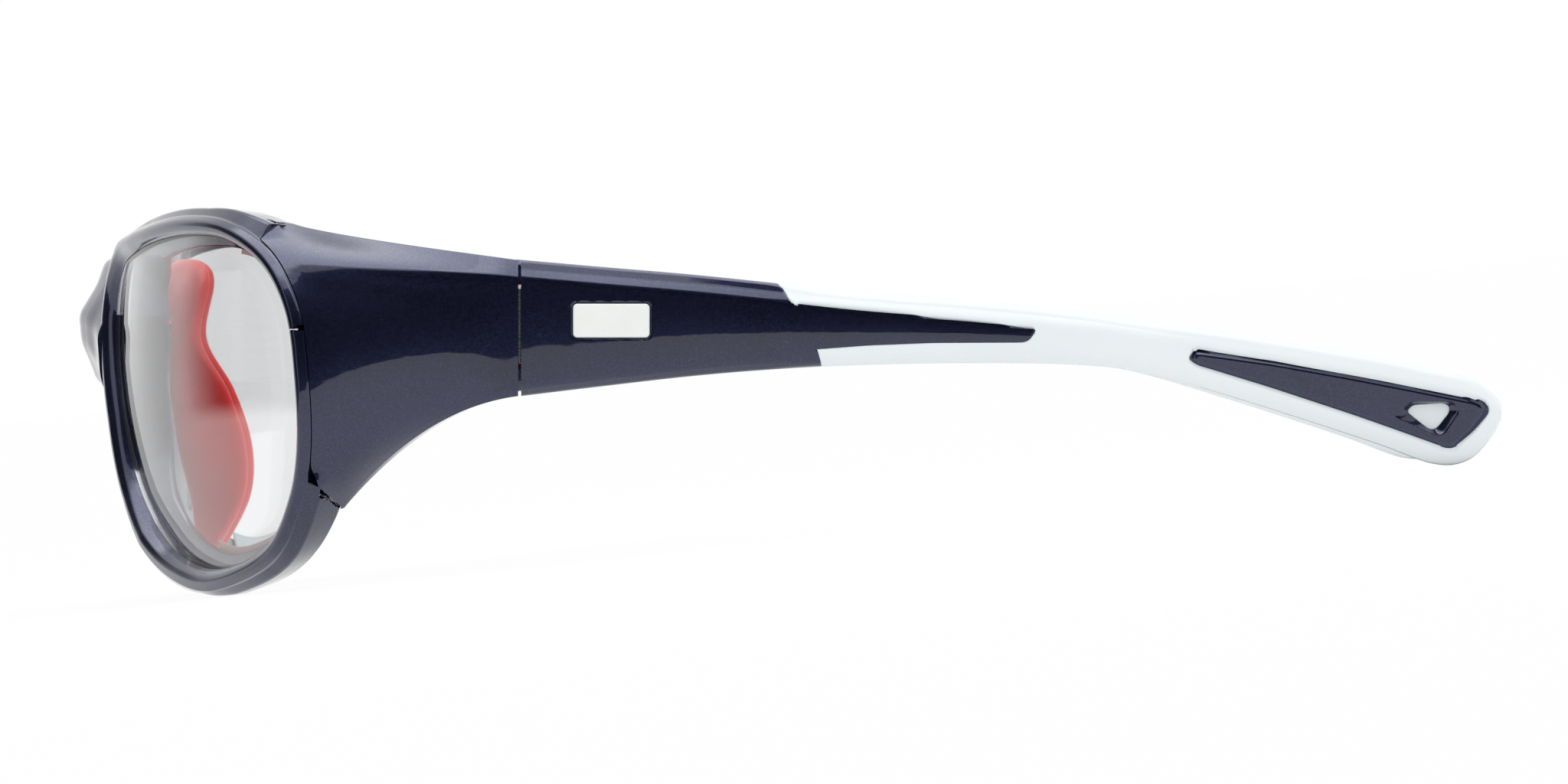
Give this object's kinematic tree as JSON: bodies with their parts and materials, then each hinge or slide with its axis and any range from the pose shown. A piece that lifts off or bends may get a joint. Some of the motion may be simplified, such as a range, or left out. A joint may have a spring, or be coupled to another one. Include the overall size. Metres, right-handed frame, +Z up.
{
  "type": "sports goggles",
  "caption": "Wraparound sports goggles with clear lenses, soft nose pad and side pads, screwed endpieces and hinged temples with soft grips and strap slots.",
  "frame": {"origin": "middle of the goggles' footprint, on the surface that the rims and temple tips rest on", "axes": "+X to the wearer's left, +Y from the lenses back along the temples, +Z up"},
  "size_m": [0.1388, 0.1622, 0.0451],
  "materials": {
    "pearl_navy_nylon": "gloss pearl lacquer",
    "clear_polycarbonate": "clear, polished",
    "red_silicone": "satin, translucent",
    "milky_silicone": "satin, translucent",
    "white_soft_rubber": "satin",
    "white_plastic": "satin",
    "stainless_steel": "turned"
  },
  "bodies": {
    "front": {"front_frame": "pearl_navy_nylon", "left_lens": "clear_polycarbonate", "right_lens": "clear_polycarbonate", "nose_pad": "red_silicone", "left_side_pad": "milky_silicone", "right_side_pad": "milky_silicone", "left_endpiece": "pearl_navy_nylon", "right_endpiece": "pearl_navy_nylon", "endpiece_screws": "stainless_steel", "left_hinge_front_leaf": "stainless_steel", "right_hinge_front_leaf": "stainless_steel", "left_hinge_screw": "stainless_steel", "right_hinge_screw": "stainless_steel"},
    "left_temple": {"left_temple_arm": "pearl_navy_nylon", "left_temple_grip": "white_soft_rubber", "left_inlay": "white_plastic", "left_hinge_temple_leaf": "stainless_steel"},
    "right_temple": {"right_temple_arm": "pearl_navy_nylon", "right_temple_grip": "white_soft_rubber", "right_inlay": "white_plastic", "right_hinge_temple_leaf": "stainless_steel"}
  },
  "joints": [
    {"name": "left_fold", "type": "hinge", "parent": "front", "child": "left_temple", "pos_m": [0.0637, -0.03031, 0.02729], "axis": [0, 0.1071, 0.9942], "range_deg": [0, 98]},
    {"name": "right_fold", "type": "hinge", "parent": "front", "child": "right_temple", "pos_m": [-0.0637, -0.03031, 0.02729], "axis": [0, -0.1071, -0.9942], "range_deg": [0, 85]}
  ]
}
